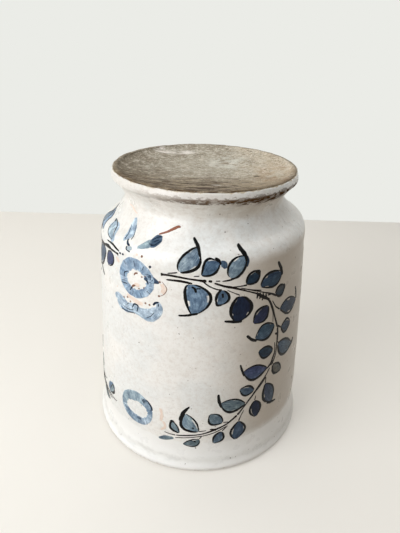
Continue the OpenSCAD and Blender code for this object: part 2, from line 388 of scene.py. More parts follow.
# The tones of the glaze, of what has settled on it, and of the shade painted on it
WARM_WHITE = rgb("#eeece6")
COOL_WHITE = rgb("#e5e6e2")
THICK_WHITE = rgb("#f3f3ef")
MOTTLE_PALE = rgb("#f6f6f2")
MOTTLE_DEEP = rgb("#d5cdc3")
RIM_BUFF = rgb("#c0b2a2")
# A stain on the wall's right side, darkened further as painted shade
STAIN_AND_SHADE = rgb("#b7ab9a")
SPECK = rgb("#9d8d78")
DUST = rgb("#a39176")
# Grey in the lip's groove, partly dirt and partly painted shade in the crease
GROOVE_DIRT_AND_SHADE = rgb("#a9a695")
GRIME = rgb("#5a4228")
CAKED = rgb("#4c3212")
SOOT = rgb("#4d4a44")
BISCUIT = rgb("#b8a88c")

# The tones of the lining
HONEY = rgb("#e3dccb")
HONEY_DEEP = rgb("#cfc4ad")
GLAZE_RUN = rgb("#a08661")
CRACK = rgb("#7c6748")

# The tones of the bare foot, from its left to its right, and of its marks
CLAY_LEFT = rgb("#857b69")
CLAY_MIDDLE = rgb("#a9a190")
CLAY_RIGHT = rgb("#bdb09a")
CLAY_PALE = rgb("#c9c1b0")
CLAY_DEEP = rgb("#7d6f58")
GRAIN_PALE = rgb("#e2d9c9")
GRAIN_DEEP = rgb("#6a5a45")
# Darker towards the foot's front: rubbed-in dirt, and painted shade on the near side of the dish
RUBBED_DIRT_AND_SHADE = rgb("#86704f")
STREAK = rgb("#3a2610")
LEFT_DIRT = rgb("#5f523f")
SCUFF = rgb("#ece5dc")
CHALK = rgb("#d9d8cc")
RUSTY = rgb("#b88a5c")
RIM_DIRT = rgb("#66502f")
CHIP = rgb("#efe9dc")
DARK_SPOT = rgb("#3e352a")
PIT = rgb("#382a1c")

# The stain and the painted shade lie on the wall's right side, and the thick pale glaze of the lip ends below
# it
stain_and_shade_around = (20, 112)
stain_and_shade_heights = (18, 109)
thick_glaze_ends = (15.6, 17)
glaze_shine = 0.5
paint_shine = 0.12


def degrees_around(r):
    """The angle round the jar, in degrees to the right of its front."""
    return r.times(r.math("ARCTAN2", r.x, r.times(r.y, -1)), math.degrees(1))


def rim_grime(r):
    """The caked brown dirt under the rim of the foot, from the middle of the front to the right."""
    around = degrees_around(r)
    crumbs = r.step(r.noise(3, 4, 0.65, stretch=(1, 1, 2)), 0.36, 0.56)
    ragged = r.math("ADD", r.z, r.math("MULTIPLY_ADD", crumbs, 1.2, -0.6))
    hanging = r.math("ADD", ragged, r.times(r.step(around, 8, 38), 1.6))
    above = r.step(hanging, jar_h - 5.8, jar_h - 4.9)
    below = r.under(ragged, jar_h - 3.1, jar_h - 2.3)
    side = r.times(r.step(around, -60, 6), r.under(around, 95, 150))
    return r.times(above, below, side, r.math("MULTIPLY_ADD", crumbs, 0.45, 0.55))


def glaze_tone(r):
    """The warm white glaze with its clouds and specks, the old dirt in its hollows, and painted shade on its
    right side, in the lip's groove and under the rim.
    """
    around = degrees_around(r)
    clouds = r.noise(26, 3)
    patches = r.step(r.noise(5, 4, 0.6, stretch=(1, 1, 2)), 0.42, 0.6)
    smears = r.step(r.noise(11, 4, 0.65, stretch=(1, 1, 1.6)), 0.5, 0.76)
    mottle = r.noise(1.8, 3, 0.6)
    pinholes = r.step(r.noise(1.7, 1), 0.75, 0.8)
    ragged_z = r.math("ADD", r.z, r.times(r.math("SUBTRACT", r.noise(7, 3), 0.5), 4))
    glaze_end = r.math("ADD", r.z, r.times(r.noise(2.6, 3, 0.6), 2.4))
    wall = [
        (SPECK, r.step(r.noise(0.8, 2, 0.6), 0.55, 0.75), 0.2),
        (MOTTLE_DEEP, r.step(mottle, 0.5, 0.66), 0.3),
        (MOTTLE_PALE, r.under(mottle, 0.34, 0.5), 0.3),
        (DUST, smears, 0.14),
        # A stain with painted shade on the wall's right side, away from the window
        (STAIN_AND_SHADE, r.band(around, *stain_and_shade_around, 22), r.band(ragged_z, *stain_and_shade_heights, 3), 0.82),
        (THICK_WHITE, r.under(ragged_z, *thick_glaze_ends), 0.85),
        (GRIME, pinholes, 0.7),
    ]
    lip = [
        # The grey band in the lip's groove: dirt, and painted shade in the crease
        (GROOVE_DIRT_AND_SHADE, r.band(ragged_z, 5.4, 7.2, 1.6), 0.26),
        (SOOT, r.band(ragged_z, 4.2, 8, 1.6), r.step(patches, 0.5, 1), 0.1),
        (DUST, r.band(r.z, -2, 1.6, 1), r.step(r.noise(3.5, 3), 0.58, 0.7), 0.6),
    ]
    # Dust on the neck's right side under the rim, with painted shade where the rim overhangs it
    neck_dust_and_shade = r.times(r.band(r.z, jar_h - 14, jar_h - 4, 2), r.band(around, 16, 130, 30))
    neck_and_rim = [
        (DUST, neck_dust_and_shade, r.step(clouds, 0.3, 0.6), 0.62),
        (DUST, r.band(r.z, jar_h - 17, jar_h - 4, 3), patches, 0.16),
        (CAKED, rim_grime(r)),
        (RIM_BUFF, r.step(ragged_z, jar_h - 6, jar_h - 2), r.under(around, 0, 60), 0.32),
        (RIM_BUFF, r.band(r.z, 108, 122, 4), r.under(around, -50, -10), 0.16),
        (GRIME, r.band(r.z, jar_h - 8.5, jar_h - 5, 1), smears, 0.7),
        (BISCUIT, r.step(glaze_end, jar_h + 0.25, jar_h + 0.75)),
    ]
    white = r.mix(r.step(clouds, 0.4, 0.62), WARM_WHITE, COOL_WHITE)
    return r.layered(white, wall + lip + neck_and_rim)


def glaze_bump(r):
    """Slow ripples from the throwing, and the fine peel of the glaze."""
    ripple = r.bump(r.noise(5, 2, 0.5, stretch=(0.35, 0.35, 1)), 0.2)
    return r.bump(r.noise(1.3, 2, 0.5), 0.05, ripple)


def glaze_finish():
    r = Recipe("tin_glaze")
    roughness = r.math("MULTIPLY_ADD", r.noise(8, 3), 0.25, 0.18)
    clean = r.math("SUBTRACT", 1, rim_grime(r))
    r.feed(r.shader.inputs["Specular IOR Level"], r.times(clean, glaze_shine))
    return r.finish(glaze_tone(r), roughness, glaze_bump(r))


def lining_finish():
    """The thin honey white glaze inside, with its runs and its fine crackle."""
    r = Recipe("lining_glaze")
    honey = r.mix(r.step(r.noise(14, 3), 0.4, 0.65), HONEY, HONEY_DEEP)
    runs = r.step(r.noise(4, 4, 0.6, stretch=(1, 1, 0.15)), 0.5, 0.7)
    crackle = r.add("ShaderNodeTexVoronoi")
    crackle.feature = "DISTANCE_TO_EDGE"
    crackle.inputs["Scale"].default_value = 0.16
    r.feed(crackle.inputs["Vector"], r.place)
    cracks = r.under(crackle.outputs["Distance"], 0, 0.02)
    return r.finish(r.layered(honey, [(GLAZE_RUN, runs, 0.35), (CRACK, cracks, 0.35)]), 0.35, glaze_bump(r))


def clay_finish():
    """The bare, turned foot: grey tan biscuit with grainy streaks, pale scuffs, rubbed-in dirt, and painted
    shade on the near side of its dish.
    """
    r = Recipe("bare_clay")
    warp = r.math("SUBTRACT", r.noise(8, 3, 0.6), 0.5)
    left_right = r.math("ADD", r.x, r.times(warp, 40))
    front_back = r.math("ADD", r.y, r.times(warp, 26))
    blotches = r.noise(6, 5, 0.7)
    grains = r.noise(0.9, 4, 0.8, stretch=(0.5, 1, 1))
    clay = [
        (CLAY_RIGHT, r.step(left_right, 8, 34)),
        (CLAY_PALE, r.step(blotches, 0.5, 0.62), 0.55),
        (CLAY_DEEP, r.under(blotches, 0.34, 0.48), 0.6),
        (GRAIN_DEEP, r.step(grains, 0.52, 0.62), 0.6),
        (GRAIN_PALE, r.under(grains, 0.37, 0.48), 0.75),
    ]
    front = r.under(front_back, -26, 0)
    streaks = r.step(r.noise(2.4, 5, 0.8, stretch=(0.24, 1, 1)), 0.44, 0.58)
    left_more = r.math("MAXIMUM", r.under(r.x, 8, 36), 0.4)
    to_left = r.vector("DOT_PRODUCT", r.place, (-0.9, -0.4, 0))
    scuffs = r.step(r.noise(3, 4, 0.6, stretch=(0.4, 1, 1)), 0.4, 0.6)
    reach = r.vector("LENGTH", r.join(r.x, r.y, 0))
    near_rim = r.step(reach, foot_r - 6, foot_r - 1)
    marks = [
        # The front of the foot is darker: rubbed-in dirt, and painted shade on the near side of the dish
        (RUBBED_DIRT_AND_SHADE, front, 0.55),
        (STREAK, front, left_more, streaks, 0.95),
        (LEFT_DIRT, r.step(to_left, 16, 40), r.under(blotches, 0.4, 0.6), 0.5),
        (SCUFF, r.spot((-17, 31), (13, 4)), scuffs, 0.85),
        (CHALK, r.spot((12, 16), (12, 11)), r.step(blotches, 0.4, 0.58), 0.6),
        (RUSTY, r.spot((33, -6), (11, 22)), r.under(blotches, 0.42, 0.6), 0.16),
        (RIM_DIRT, near_rim, r.step(r.noise(3, 4, 0.7), 0.42, 0.58), 0.4),
        (CHIP, r.spot((7, -23), (5, 0.8)), streaks, 0.8),
        (DARK_SPOT, r.spot((24, -8), (1.6, 1.0)), 0.9),
        (PIT, r.step(r.noise(0.9, 1), 0.66, 0.74), 0.75),
    ]
    biscuit = r.mix(r.step(left_right, -34, -6), CLAY_LEFT, CLAY_MIDDLE)
    turning_marks = r.noise(1.1, 2, 0.5, where=r.join(reach, r.noise(30, 1), 0))
    normal = r.bump(turning_marks, 0.14)
    normal = r.bump(r.noise(0.7, 3, 0.6), 0.16, normal)
    return r.finish(r.layered(biscuit, clay + marks), 0.85, r.bump(grains, 0.3, normal))


def paint_finish(name, spread, mottle, hair):
    """Pigment in the glaze. Where the brush left little, the white glaze shows through it."""
    r = Recipe(name)
    tone = r.attribute("tone", "Color")
    brush = r.add("ShaderNodeUVMap").outputs[0]
    hairs = r.noise(hair, 3, 0.6, where=brush, stretch=(1, 0.14, 1))
    if mottle:
        pale = r.vector("MULTIPLY", tone, (2.3, 2.1, 1.9))
        deep = r.vector("MULTIPLY", tone, (0.28, 0.34, 0.44))
        blots = r.noise(2.6, 3, 0.6)
        pooled = [
            (pale, r.step(blots, 0.52, 0.66), mottle),
            (deep, r.under(blots, 0.34, 0.48), mottle),
            (pale, r.step(hairs, 0.53, 0.66), mottle),
            (deep, r.under(hairs, 0.34, 0.47), mottle),
            (deep, r.step(r.noise(0.8, 2, 0.6), 0.55, 0.68), mottle * 0.5),
        ]
        tone = r.layered(tone, pooled)
    streaks = r.times(r.math("SUBTRACT", hairs, 0.5), spread)
    covered = r.step(r.math("ADD", r.attribute("body"), streaks), 0.05, 0.6)
    r.shader.inputs["Specular IOR Level"].default_value = paint_shine
    return r.finish(r.mix(covered, glaze_tone(r), tone), 0.35, glaze_bump(r))


class Painting:
    """The strokes of one colour, laid on the glaze in one mesh."""

    def __init__(self):
        self.bm = bmesh.new()
        self.uv = self.bm.loops.layers.uv.new("along")
        self.tone = self.bm.verts.layers.float_color.new("tone")
        self.body = self.bm.verts.layers.float.new("body")
        self.marks = {}

    def sheet(self, columns, rows, place):
        """A grid of faces. place(t, side) gives a point's place, lift, tone, body and brush direction."""
        made = bmesh.ops.create_grid(self.bm, x_segments=columns, y_segments=rows, size=1)["verts"]
        for v in made:
            t, side = (v.co.x + 1) / 2, v.co.y
            at, lift, tone, body, brush = place(t, side)
            v.co = on_glaze(at, lift)
            v[self.tone] = tone
            v[self.body] = body
            self.marks[v] = brush

    def finished(self, name, finish, node, slot_name):
        """Gives the strokes their thickness inwards and makes them one piece."""
        for face in self.bm.faces:
            for loop in face.loops:
                loop[self.uv].uv = self.marks[loop.vert]
        faces = list(self.bm.faces)
        bmesh.ops.recalc_face_normals(self.bm, faces=faces)
        outward = sum(f.normal.dot(f.calc_center_median().xy.to_3d()) for f in faces)
        if outward < 0:
            bmesh.ops.reverse_faces(self.bm, faces=faces)
        made = bmesh.ops.extrude_face_region(self.bm, geom=faces, use_keep_orig=True)["geom"]
        self.bm.normal_update()
        for v in made:
            if isinstance(v, bmesh.types.BMVert):
                v.co -= v.normal * pad_t
        bmesh.ops.recalc_face_normals(self.bm, faces=self.bm.faces)
        finish_mesh(self.bm, name, finish, [node])


def on_glaze(at, lift):
    """The point of the glaze's surface, or a little above it, for a place on the painting."""
    along, z = at
    a = (along - wreath_axis) / painted_r
    z -= lean(math.sin(a), z) + 0.9 * smooth(92, 102, z) + 0.1 * smooth(106, 116, z)
    radius, out = at_height(z)
    radius += out.x * lift
    return hand_made(Vector((math.sin(a) * radius, -math.cos(a) * radius, z + out.y * lift)))


def placed(p, side):
    """A place on the right-hand branch, or its mirror image on the left-hand one."""
    return Vector((side * p[0], p[1] + (left_lift if side < 0 else 0)))


def wander(at, fineness, layer):
    """Smooth noise between -1 and 1 at a place on the painting."""
    return noise.noise(Vector((at.x * fineness, at.y * fineness, layer)))


def between(a, b, share):
    return tuple(x + (y - x) * share for x, y in zip(a, b))


def smooth_path(points, steps):
    """A smooth line through the points, each with its distance, height and width."""
    ends = [points[0]] + list(points) + [points[-1]]
    path = []
    for i in range(1, len(ends) - 2):
        for k in range(steps):
            t = k / steps
            row = []
            for a, b, c, d in zip(*ends[i - 1 : i + 3]):
                bend = 2 * a - 5 * b + 4 * c - d + t * (3 * (b - c) + d - a)
                row.append(b + 0.5 * t * (c - a + t * bend))
            path.append(row)
    return path + [list(points[-1])]


def along_stroke(points, steps):
    """Places along a stroke: its middle, the way to its left, half its width, and the steps to its end."""
    path = smooth_path(points, steps)
    spots = [Vector(row[:2]) for row in path]
    last = len(path) - 1
    return [(spot, left_of(spots, i), path[i][2] / 2, min(i, last - i)) for i, spot in enumerate(spots)]


def lay_line(painting, points, tone, seed, steps=8, body=1.0):
    """A brush line with a slightly unsteady edge and eased ends."""
    places = along_stroke(points, steps)
    last = len(places) - 1

    def place(t, side):
        i = round(t * last)
        spot, left, half, from_end = places[i]
        half *= 1 + 0.22 * wander(spot, 0.9, seed + side * 3)
        half *= (1 if from_end > 1 else line_ends[from_end]) * line_heavier
        lift = line_lift if abs(side) < 0.99 and from_end else sunk
        return spot + left * half * side, lift, tone, body, Vector((half * side, i * 0.8))

    painting.sheet(last, 4, place)


def lay_lines(painting, rows, tone, seed_step, wider=1, body=1.0, side=1):
    """A group of brush lines, each with its own unsteadiness."""
    for number, points in enumerate(rows):
        line = [(*placed(p, side), p[2] * wider) for p in points]
        lay_line(painting, line, tone, number * seed_step, body=body)


def paint_wash_line(painting, points, tone, body):
    """A soft broad stroke of thin colour, whose edges fade into the glaze."""
    places = along_stroke(points, 8)
    last = len(places) - 1

    def place(t, side):
        i = round(t * last)
        spot, left, half, from_end = places[i]
        wobble = 1 + 0.16 * wander(spot, 0.5, side * 2)
        at = spot + left * half * wobble * side * wash_line_heavier
        edge = min((1 - abs(side)) * 3, from_end / 2, 1)
        lift = wash_lift if edge > 0 else sunk
        return at, lift, tone, body * (0.1 + 0.9 * edge), Vector((half * side, i * 0.8))

    painting.sheet(last, 8, place)


def leaf_side(foot, tip, swell, belly, full, steps=26):
    """The points of one side of a leaf, from its foot to its tip, swelling to the left by swell."""
    ahead = tip - foot
    left = Vector((-ahead.y, ahead.x)).normalized()
    power = math.log(0.5) / math.log(belly)
    points = []
    for i in range(steps + 1):
        t = i / steps
        points.append(foot + ahead * t + left * swell * math.sin(math.pi * t**power) ** full)
    return points


# The tones that the painter's pigments left on the white glaze
INK = rgb("#080808")
BROWN_INK = rgb("#17110d")
NIGHT = rgb("#121b34")
NAVY = rgb("#1b2c3e")
TEAL = rgb("#26404f")
SLATE = rgb("#34465c")
PLUM = rgb("#3c4466")
STEEL = rgb("#4a5e72")
STORM = rgb("#58728a")
BLUE = rgb("#7892ab")
LAVENDER = rgb("#a0b3c5")
PALE = rgb("#a8bac9")
MIST = rgb("#94a5ae")
SAGE = rgb("#8fa3ab")
FERN = rgb("#66777f")
MOSS = rgb("#566468")
UMBER = rgb("#57534b")
RUST = rgb("#8f5a44")
ROSE = rgb("#e6ccb8")
BROWN = rgb("#7d5a45")

# How much wider than in the tables the strokes are drawn, and how narrow a line's last points are
outline_heavier = 1.35
tail_heavier = 1.2
stem_heavier = 1.2
line_heavier = 1.1
wash_line_heavier = 1.15
line_ends = (0.35, 0.82)

# Each leaf: its foot, its tip, how far and where along it each side swells, the widths of its two
# outline strokes, the wash's tones at its foot, its tip and its two sides, and how pointed it is.
# LEAVES are painted on both branches, and the other two groups on one of them.
RIGHT_LEAVES = [
    ((20.6, 104.6), (27.8, 113.9), (3.5, 0.42), (4, 0.6), (0.75, 1.15), (MIST, SLATE, MIST, STORM), 0.62),
    ((29.6, 103.9), (37.2, 109.3), (4.2, 0.6), (2.3, 0.5), (0.8, 0.9), (STORM, SLATE, STEEL, STORM), 0.8),
    ((25, 99.5), (26.3, 85), (8.2, 0.5), (2.5, 0.36), (0.95, 1), (STEEL, STEEL, BLUE, BLUE), 0.55),
    ((38.6, 96.8), (36.6, 89.6), (4, 0.5), (1.4, 0.45), (0.95, 0.95), (STEEL, STEEL, STORM, STEEL), 0.6),
    ((30.4, 23.3), (24.4, 33.2), (5.2, 0.5), (1.7, 0.5), (1.2, 0.6), (MOSS, SAGE, BLUE, SAGE), 0.8),
]
LEFT_LEAVES = [
    ((-17.3, 103.4), (-22.6, 95.4), (3.3, 0.5), (3.5, 0.5), (0.6, 0.6), (PLUM, NAVY, PLUM, STEEL), 0.62),
    ((-18.8, 109.2), (-31.4, 114.2), (2, 0.5), (1.5, 0.4), (0.3, 0.35), (MIST, SAGE, PALE, SAGE), 0.8),
    ((-34, 108.4), (-48, 115), (2, 0.5), (1.9, 0.5), (0.35, 0.35),
     (LAVENDER, BLUE, LAVENDER, BLUE), 0.8),
    ((-26, 102.6), (-41, 89.4), (5, 0.5), (5.6, 0.5), (0.9, 1), (SLATE, TEAL, STEEL, SLATE), 0.7),
]
LEAVES = [
    ((41.6, 102.6), (48.6, 111), (4.1, 0.48), (3, 0.4), (0.75, 1), (STORM, STORM, MIST, FERN), 0.62),
    ((49.2, 98.5), (55.9, 103.8), (2.5, 0.5), (2.8, 0.5), (0.9, 0.9), (NAVY, NAVY, TEAL, NAVY), 0.9),
    ((56.5, 95.2), (69, 99.8), (4.1, 0.4), (4.4, 0.58), (0.9, 0.8), (SLATE, NAVY, SLATE, TEAL), 0.8),
    ((65.2, 89.3), (71.6, 91), (2.3, 0.5), (2.9, 0.5), (1, 1), (NAVY, NAVY, UMBER, TEAL), 0.75),
    ((68.8, 80.2), (84, 79.3), (3.6, 0.4), (4.6, 0.55), (0.7, 0.9), (SLATE, NIGHT, SLATE, NAVY), 0.95),
    ((46.6, 92.8), (45.2, 80.7), (6.3, 0.5), (3.3, 0.5), (1.15, 1.1), (NIGHT, NIGHT, NIGHT, NAVY), 0.62),
    ((61.2, 84.8), (53.6, 78.2), (4, 0.5), (3.2, 0.5), (0.85, 0.9), (NIGHT, PLUM, NIGHT, NIGHT), 0.85),
    ((65.8, 73.6), (55, 70), (3.9, 0.5), (4.3, 0.5), (1.1, 0.7), (TEAL, STEEL, STEEL, TEAL), 0.85),
    ((70.8, 70.3), (78.8, 69), (3, 0.5), (3.6, 0.5), (0.9, 1), (SLATE, NAVY, SLATE, NAVY), 0.9),
    ((69.3, 61.8), (82.5, 55.5), (2.5, 0.4), (5.3, 0.5), (0.9, 1.1), (STEEL, MOSS, STEEL, SLATE), 0.8),
    ((66, 60), (57.3, 62.6), (3.5, 0.5), (2.3, 0.5), (0.8, 0.8), (NAVY, NAVY, NAVY, TEAL), 0.8),
    ((66.6, 51.8), (73.2, 45.6), (1.9, 0.5), (3, 0.5), (0.8, 1), (UMBER, UMBER, MOSS, UMBER), 0.8),
    ((63, 51.8), (50, 54), (4.8, 0.56), (2.6, 0.55), (1.1, 0.7), (PLUM, PLUM, STEEL, PLUM), 0.8),
    ((56, 42.2), (48.6, 44.8), (2.9, 0.5), (2.1, 0.5), (0.8, 0.8), (SLATE, MOSS, STEEL, STEEL), 0.8),
    ((62.4, 43), (67.8, 30.3), (3.4, 0.5), (3.7, 0.58), (0.7, 1.1), (NIGHT, MOSS, SLATE, PLUM), 0.8),
    ((51.8, 36), (39.8, 38.8), (4.3, 0.55), (2.7, 0.5), (1.1, 0.6), (MOSS, FERN, FERN, FERN), 0.8),
    ((56.8, 35.8), (58, 26), (3.1, 0.5), (2.9, 0.5), (0.8, 0.9), (NIGHT, NIGHT, NIGHT, NAVY), 0.8),
    ((48.8, 26.8), (47.8, 16), (4.2, 0.5), (2.9, 0.55), (0.85, 0.9), (SLATE, SLATE, SLATE, STEEL), 0.8),
    ((41.2, 28), (35.3, 33.2), (3.9, 0.5), (2.1, 0.5), (0.85, 0.6), (STEEL, FERN, FERN, FERN), 0.8),
    ((40.8, 22.6), (37.4, 16), (2.9, 0.5), (1.6, 0.5), (0.85, 0.8), (SLATE, FERN, STEEL, STEEL), 0.8),
    ((21.6, 21.6), (18.4, 27.8), (2.4, 0.55), (0.9, 0.5), (1.05, 0.5), (FERN, SAGE, SAGE, FERN), 0.8),
    ((30.8, 18.8), (23.4, 15.2), (3.2, 0.4), (0.9, 0.5), (0.55, 0.5), (MOSS, FERN, FERN, MOSS), 0.8),
]

# The hooked tails, thick where they leave a leaf's tip: points of distance, height and width
RIGHT_TAILS = [
    [(28.8, 111.4, 1.2), (27.7, 114.2, 1.7), (25, 117.2, 1.1)],
    [(35, 110.9, 1.1), (36.6, 110.4, 1.3), (37.7, 108.6, 1.2)],
    [(28.6, 85.6, 1.2), (26.2, 85, 1.3), (24, 84.3, 1.1), (20.2, 83.9, 0.9)],
    [(36.2, 91.4, 0.9), (36.6, 89.6, 1.3), (38.6, 89.6, 1)],
    [(21.8, 28.6, 1.4), (23.4, 33.6, 1.9), (26.2, 37.4, 0.72)],
]
LEFT_TAILS = [
    [(-34, 90.6, 1), (-30.4, 88.2, 1.3), (-27.4, 87, 0.9)],
    [(-29.6, 113.4, 0.8), (-31.6, 114, 1.2)],
    [(-11.5, 106.3, 0.7), (-14.5, 106.8, 1.1), (-18, 107.5, 1), (-24, 107.2, 0.5)],
    [(-18, 104.9, 0.8), (-22, 105.2, 1.5), (-27, 103.8, 1.3)],
]
TAILS = [
    [(48.9, 109, 1.4), (48.4, 111.8, 1.7), (46.2, 114.9, 1.7)],
    [(53.4, 103.5, 1.2), (54.8, 103.2, 1.7), (55.2, 101.8, 1.1)],
    [(69.2, 97.6, 1.1), (68.4, 101.4, 1.6), (66, 105.4, 1)],
    [(70.4, 92, 0.9), (71.4, 91, 1.4), (71.2, 89.4, 1)],
    [(84.2, 79.2, 1.2), (83.6, 82.6, 1.3), (82.2, 86.4, 0.8)],
    [(48, 80.5, 1), (44, 80.9, 1.3), (39.8, 81.7, 0.8)],
    [(56, 68.7, 1.1), (53.2, 70.1, 1.3), (50.6, 72.8, 1)],
    [(79, 54.3, 1.2), (82.6, 55.6, 1.9), (84.2, 57.8, 1)],
    [(50.6, 51.6, 0.9), (49.2, 55, 1), (48.2, 58.3, 0.7)],
    [(64.4, 31, 1.2), (67.2, 29.8, 1.4), (71, 29.3, 0.7)],
    [(40.6, 36.4, 1.1), (39.2, 40, 1.3), (38.7, 44.2, 0.9)],
    [(17.4, 25.6, 0.9), (18.2, 27.9, 1.1), (19.6, 27, 0.5)],
]

# The stem's lines and the stalks, as the brush drew them
RIGHT_STEMS = [
    [(14.5, 100.3, 0.7), (21, 100.5, 1), (26, 99.8, 0.9)],
    [(15, 103.3, 0.5), (19.6, 104.4, 0.6)],
    [(26.4, 103.3, 0.4), (28.8, 103.5, 0.5)],
    [(30.6, 100.8, 0.5), (33, 98.9, 0.5), (36, 97.4, 0.6), (38.4, 96.7, 0.9)],
]
STEMS = [
    [(12, 102.3, 1.4), (14, 102.5, 0.8), (18, 102.5, 0.9), (25, 101.9, 0.7),
     (29.9, 101.4, 1), (30.9, 101.3, 1.3), (31.8, 101.4, 0.9)],
    [(32.6, 101.3, 1), (34.2, 101.1, 0.9)],
    [(35, 100.4, 0.7), (39, 98.8, 0.9), (43, 97.6, 1), (47, 96, 0.8),
     (50, 94.6, 0.6), (55, 92.2, 0.7)],
    [(35.6, 101.3, 0.4), (37.6, 101.2, 0.5)],
    [(38.4, 101.1, 0.4), (41.4, 101.3, 0.7), (43.6, 102, 0.8)],
    [(40.6, 96.6, 0.35), (44, 94.6, 0.4), (46.4, 93.2, 0.5)],
    [(42.4, 98, 0.4), (46, 97.9, 0.5), (49.6, 98, 0.8)],
    [(46.6, 97, 0.4), (51, 95.2, 0.6), (57, 93.4, 0.6)],
    [(49.6, 95.6, 0.3), (58, 92.2, 0.5), (63, 90, 0.8), (66, 88.1, 0.9)],
    [(54.6, 92.4, 1.1), (58, 90, 1.4), (61.8, 87.6, 0.9)],
    [(59.6, 89.4, 0.8), (62, 86.6, 0.9), (63.8, 83, 0.9), (65, 79.6, 0.8),
     (66.5, 75.4, 0.9), (68.1, 71.4, 1)],
    [(68.1, 71.4, 1), (68.5, 67.8, 1.1), (68.6, 64, 0.9), (68.2, 61, 0.5)],
    [(61, 87.8, 0.6), (62.6, 84.6, 0.5), (64.2, 80.2, 0.35), (64.6, 75.4, 0.35)],
    [(66.8, 64, 0.4), (67.4, 59, 0.7), (66, 55, 1.1), (65, 52, 1)],
    [(68.6, 64, 0.5), (68.2, 57.6, 0.6), (66.8, 53.6, 0.6), (65.2, 51.8, 0.5)],
    [(65.4, 53.4, 1.2), (63.6, 51.8, 0.9), (61.6, 51.2, 0.9)],
    [(64.6, 51, 0.6), (62.6, 48, 0.6), (58.6, 43.4, 0.9), (54.6, 38.6, 0.8),
     (50.8, 34, 0.7), (48, 30.6, 1.1)],
    [(62.8, 47, 0.4), (59.8, 43.8, 0.9), (56.6, 40.8, 0.9), (53.6, 37.2, 0.6)],
    [(48, 30.6, 1.1), (43, 26.6, 0.7), (37.5, 24.1, 0.9), (32, 21.9, 0.6),
     (26, 20.7, 0.7), (20, 19.9, 0.6)],
    [(20, 19.9, 0.6), (16.6, 20.1, 0.4), (14.6, 20.6, 0.3)],
    [(43, 25.4, 0.35), (38, 22.7, 0.5), (33, 20.9, 0.4), (26, 19.4, 0.4), (19.6, 18.3, 0.3)],
    [(38.4, 24.2, 1.3), (36.8, 24.4, 0.9), (35.4, 24.5, 0.5)],
    [(34, 24, 0.3), (30.4, 23.4, 0.5)],
    [(63.4, 86.6, 0.35), (66, 82.7, 0.6), (68.9, 80.3, 0.7)],
    [(67.8, 72.2, 0.9), (69.6, 71, 0.8), (71.2, 69.8, 0.7)],
    [(66.7, 68.6, 0.9), (68.9, 67.4, 1)],
    [(69.2, 63.4, 0.4), (69.6, 61.8, 0.6)],
    [(66, 55.4, 0.4), (66.7, 51.9, 0.5)],
    [(62.6, 46.6, 0.35), (62.5, 43, 0.5)],
    [(57.2, 38.6, 0.35), (56.8, 35.8, 0.5)],
    [(51.2, 32.6, 0.35), (49.8, 29.6, 0.4), (48.9, 26.9, 0.6)],
    [(44.8, 27.6, 0.35), (41.4, 27.9, 0.5)],
    [(43.6, 25.8, 0.35), (41, 22.8, 0.5)],
    [(32, 20.6, 0.3), (30.8, 18.9, 0.5)],
]

# The short hatches across the stem's bend, and the dark strokes inside some leaves
HATCHES = [
    [(54.6, 93.2, 0.5), (54.9, 91.6, 0.8), (54.6, 90, 0.6)],
    [(56.1, 92.6, 0.5), (56.4, 91, 0.8), (56, 89.4, 0.6)],
    [(57.7, 92, 0.5), (58, 90.2, 0.8), (57.4, 88.4, 0.6)],
    [(59.3, 91.4, 0.5), (59.6, 89.8, 0.8), (59.2, 88.4, 0.6)],
    [(60.4, 90.2, 0.6), (62.4, 90, 0.6)],
]
VEINS = [
    [(27.6, 25.8, 0.9), (28.2, 24.8, 0.8)],
    [(28.2, 17.8, 1), (29.4, 16.8, 0.7)],
]
RIGHT_VEINS = [
    [(25.6, 98.4, 0.9), (27, 97.4, 1.6), (27.6, 95.4, 1.3)],
    [(27.6, 97.6, 1), (29.6, 97.6, 0.8)],
    [(38.6, 95.2, 1.4), (39, 92.8, 1.2)],
]

# The dabs of wash beside the leaves: tone, strength and points
LEAF_DABS = [
    (FERN, 0.8, [(19.2, 17.8, 1.2), (16, 17.2, 2.6), (13.4, 16.2, 2.2), (11.7, 15.6, 0.8)]),
    (STEEL, 0.8, [(37.4, 109.9, 1.2), (38.9, 108.6, 2.8), (39.6, 106.8, 1.4)]),
    (NAVY, 0.7, [(49, 111.6, 0.8), (49.3, 109.2, 1.8), (48.8, 106.6, 1)]),
]


def paint_leaf(washes, lines, row, side, number):
    """One leaf: its wash between the two sides, and an outline stroke along each side."""
    foot, tip, (left, left_belly), (right, right_belly), (left_w, right_w), tones, full = row
    if side < 0:
        left, left_belly, right, right_belly = right, right_belly, left, left_belly
        left_w, right_w = right_w, left_w
        tones = (tones[0], tones[1], tones[3], tones[2])
    foot, tip = placed(foot, side), placed(tip, side)
    left_side = leaf_side(foot, tip, left, left_belly, full)
    right_side = leaf_side(foot, tip, -right, right_belly, full)
    last = len(left_side) - 1

    def wash(t, across):
        i = round(t * last)
        share = (across + 1) / 2
        at = right_side[i].lerp(left_side[i], share)
        tone = between(between(tones[0], tones[1], t), between(tones[3], tones[2], share), 0.5)
        rim = abs(across) > 0.99 or i in (0, last)
        brush = Vector((share * (left + right), t * (tip - foot).length))
        thin = smooth(-0.05, 0.35, wander(at, 1 / 3.4, number))
        body = 1 - 0.95 * thin * (1 - smooth(0.22, 0.5, 1 - abs(across)))
        return at, sunk if rim else wash_lift, tone, body, brush

    washes.sheet(last, 10, wash)
    for points, width in ((left_side, left_w), (right_side, right_w)):
        stroke = []
        for i, p in enumerate(points):
            pressed = 0.55 + 0.6 * math.sin(math.pi * min(i / last * 1.15, 1)) ** 0.7
            stroke.append((p.x, p.y, outline_heavier * width * pressed))
        lay_line(lines, stroke, INK, number * 1.7, steps=1)


